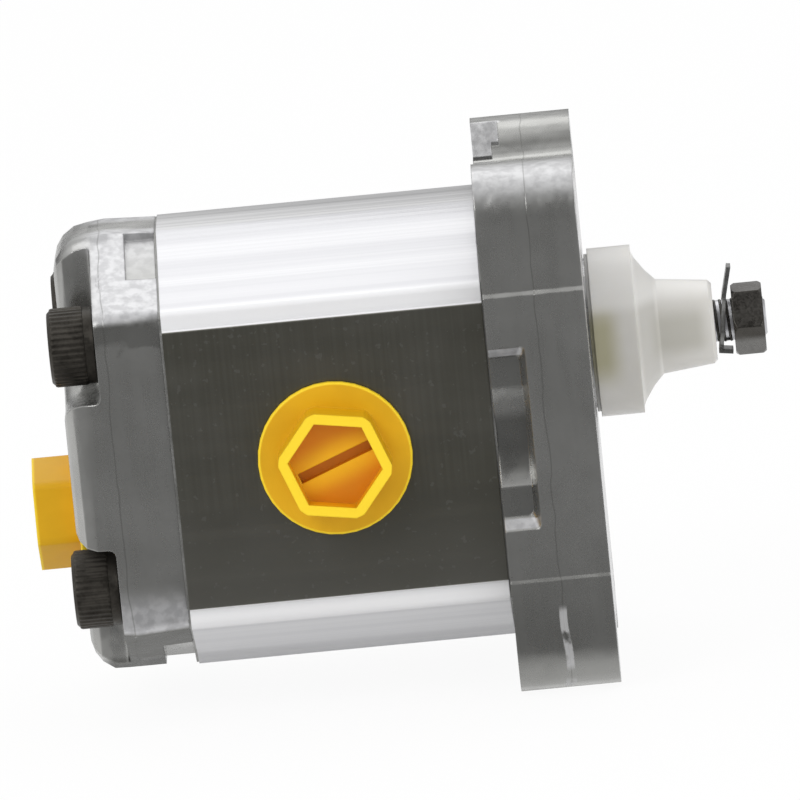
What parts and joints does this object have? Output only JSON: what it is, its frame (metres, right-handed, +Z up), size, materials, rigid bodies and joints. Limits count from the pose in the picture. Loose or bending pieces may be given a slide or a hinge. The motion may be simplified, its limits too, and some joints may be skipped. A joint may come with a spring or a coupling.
{
  "type": "hydraulic pump",
  "caption": "External gear pump with a square-shouldered flange, extruded body, cast rear cover, tapered shaft under a plastic cap, and plugged side and rear ports.",
  "frame": {"origin": "where the drive shaft's axis crosses the flange's mounting face", "axes": "+X along the drive shaft and out of the pump, +Z up along the flange's long side, +Y away from the side port"},
  "size_m": [0.1262, 0.075, 0.0894],
  "materials": {
    "flange_casting": "die-cast, satin grey",
    "cover_casting": "die-cast, satin grey",
    "body_extrusion": "extruded, with a machined port face",
    "shaft_steel": "ground",
    "block_alloy": "machined",
    "bush_bronze": "bronze with a coated bore",
    "seal_rubber": "black rubber",
    "pin_steel": "plain steel",
    "cap_plastic": "natural translucent polyethylene",
    "washer_steel": "zinc-plated sheet",
    "nut_steel": "dark phosphated",
    "plug_plastic": "yellow polyethylene, a little glossy",
    "bolt_steel": "black oxide, knurled heads"
  },
  "bodies": {
    "pump": {"mounting_flange": "flange_casting", "pump_body": "body_extrusion", "rear_cover": "cover_casting", "front_bearing_block": "block_alloy", "rear_bearing_block": "block_alloy", "front_drive_bush": "bush_bronze", "front_driven_bush": "bush_bronze", "rear_drive_bush": "bush_bronze", "rear_driven_bush": "bush_bronze", "front_body_seal": "seal_rubber", "rear_body_seal": "seal_rubber", "front_balance_seal": "seal_rubber", "rear_balance_seal": "seal_rubber", "shaft_seal": "seal_rubber", "seal_circlip": "pin_steel", "front_dowel_upper": "pin_steel", "front_dowel_lower": "pin_steel", "rear_dowel_upper": "pin_steel", "rear_dowel_lower": "pin_steel", "cover_bolt_upper_near": "bolt_steel", "cover_bolt_upper_far": "bolt_steel", "cover_bolt_lower_near": "bolt_steel", "cover_bolt_lower_far": "bolt_steel"},
    "drive_shaft": {"drive_gear_shaft": "shaft_steel", "shaft_key": "pin_steel"},
    "driven_gear": {"driven_gear_shaft": "shaft_steel"},
    "cap_set": {"shaft_cap": "cap_plastic", "tab_washer": "washer_steel", "shaft_nut": "nut_steel"},
    "side_plug": {"side_port_plug": "plug_plastic"},
    "rear_plug": {"rear_port_plug": "plug_plastic"}
  },
  "joints": [
    {"name": "drive_shaft_spin", "type": "hinge", "parent": "pump", "child": "drive_shaft", "pos_m": [0, 0, 0], "axis": [1, 0, 0], "continuous": true},
    {"name": "driven_gear_spin", "type": "hinge", "parent": "pump", "child": "driven_gear", "pos_m": [0, 0, -0.0228], "axis": [1, 0, 0], "continuous": true},
    {"name": "cap_pull", "type": "slide", "parent": "drive_shaft", "child": "cap_set", "axis": [1, 0, 0], "range_m": [0, 0.034]},
    {"name": "side_plug_pull", "type": "slide", "parent": "pump", "child": "side_plug", "axis": [0, -1, 0], "range_m": [0, 0.012]},
    {"name": "rear_plug_pull", "type": "slide", "parent": "pump", "child": "rear_plug", "axis": [-1, 0, 0], "range_m": [0, 0.014]}
  ],
  "couplings": [
    {"joint": "driven_gear_spin", "follows": "drive_shaft_spin", "ratio": -1}
  ]
}
